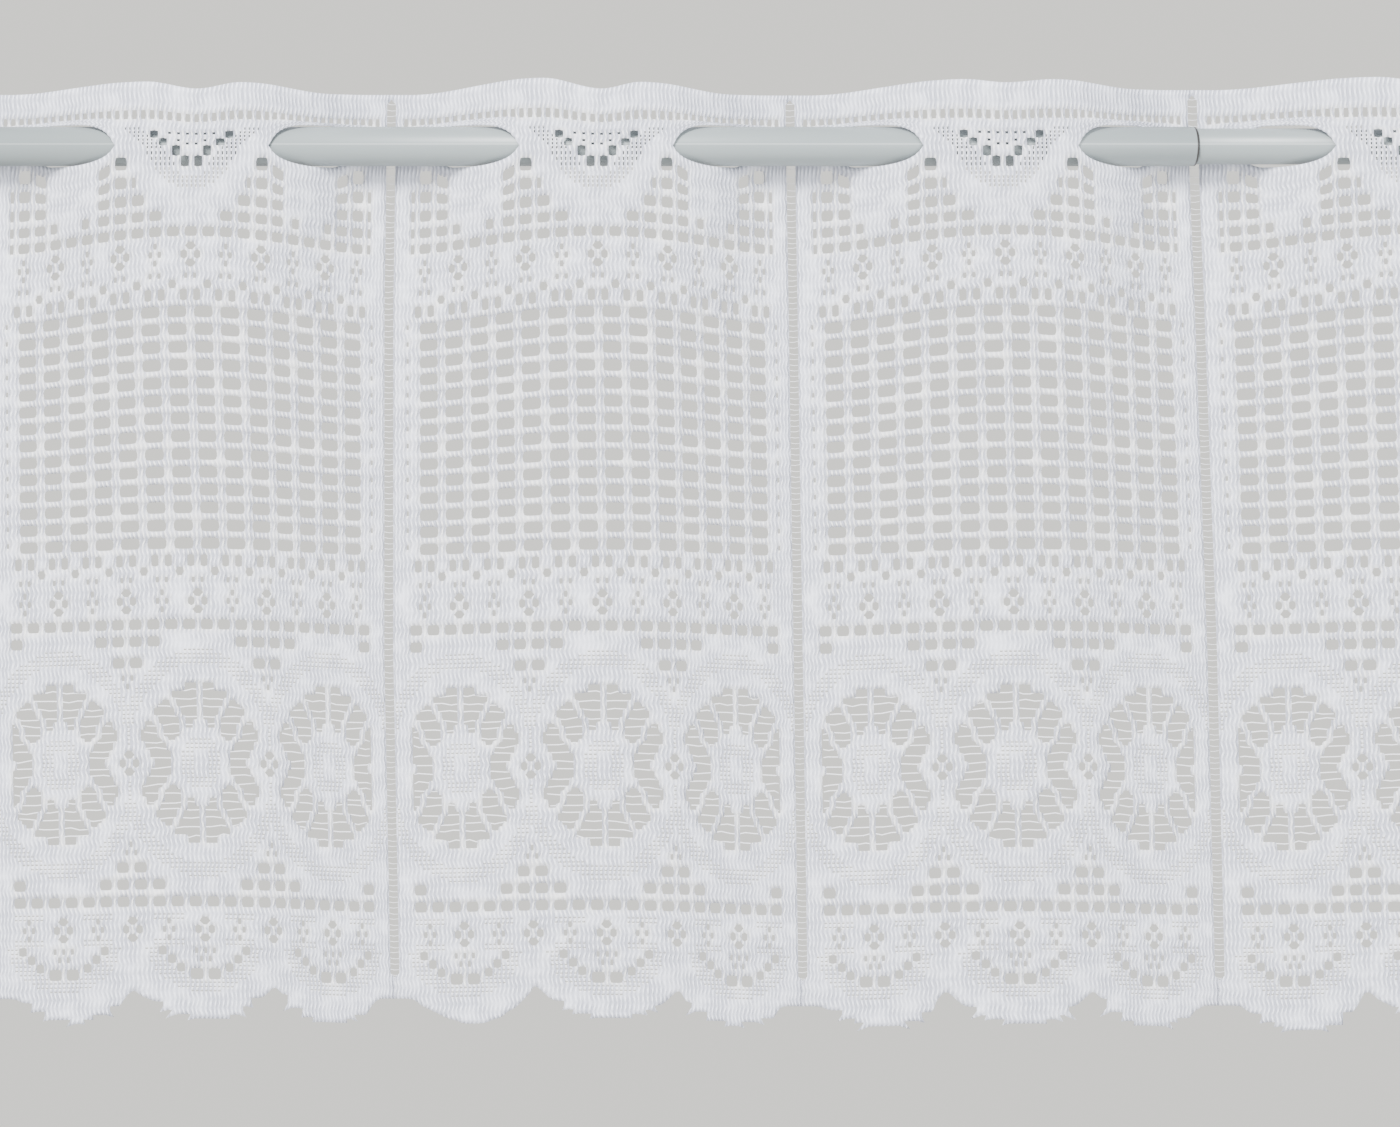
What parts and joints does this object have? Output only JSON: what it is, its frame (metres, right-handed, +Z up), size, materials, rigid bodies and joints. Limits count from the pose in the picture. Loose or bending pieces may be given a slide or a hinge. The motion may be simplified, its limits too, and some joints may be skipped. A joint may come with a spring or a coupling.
{
  "type": "lace cafe curtain on a telescopic rod",
  "caption": "Short white lace cafe curtain with a scalloped hem, woven over a telescopic rod that clamps across a window recess.",
  "frame": {"origin": "centre of the left end cap's outer face, on the rod's axis", "axes": "+X along the rod from its left end to its right end, +Y from the room towards the window, +Z up"},
  "size_m": [0.652, 0.019, 0.3511],
  "materials": {
    "lace_yarn": "matte white polyester raschel lace",
    "rod_coat": "pale grey satin coated steel",
    "cap_rubber": "pale grey matte rubber"
  },
  "bodies": {
    "root": {"lace": "lace_yarn", "outer_tube": "rod_coat", "inner_tube": "rod_coat", "left_cap": "cap_rubber", "right_cap": "cap_rubber"}
  },
  "joints": []
}
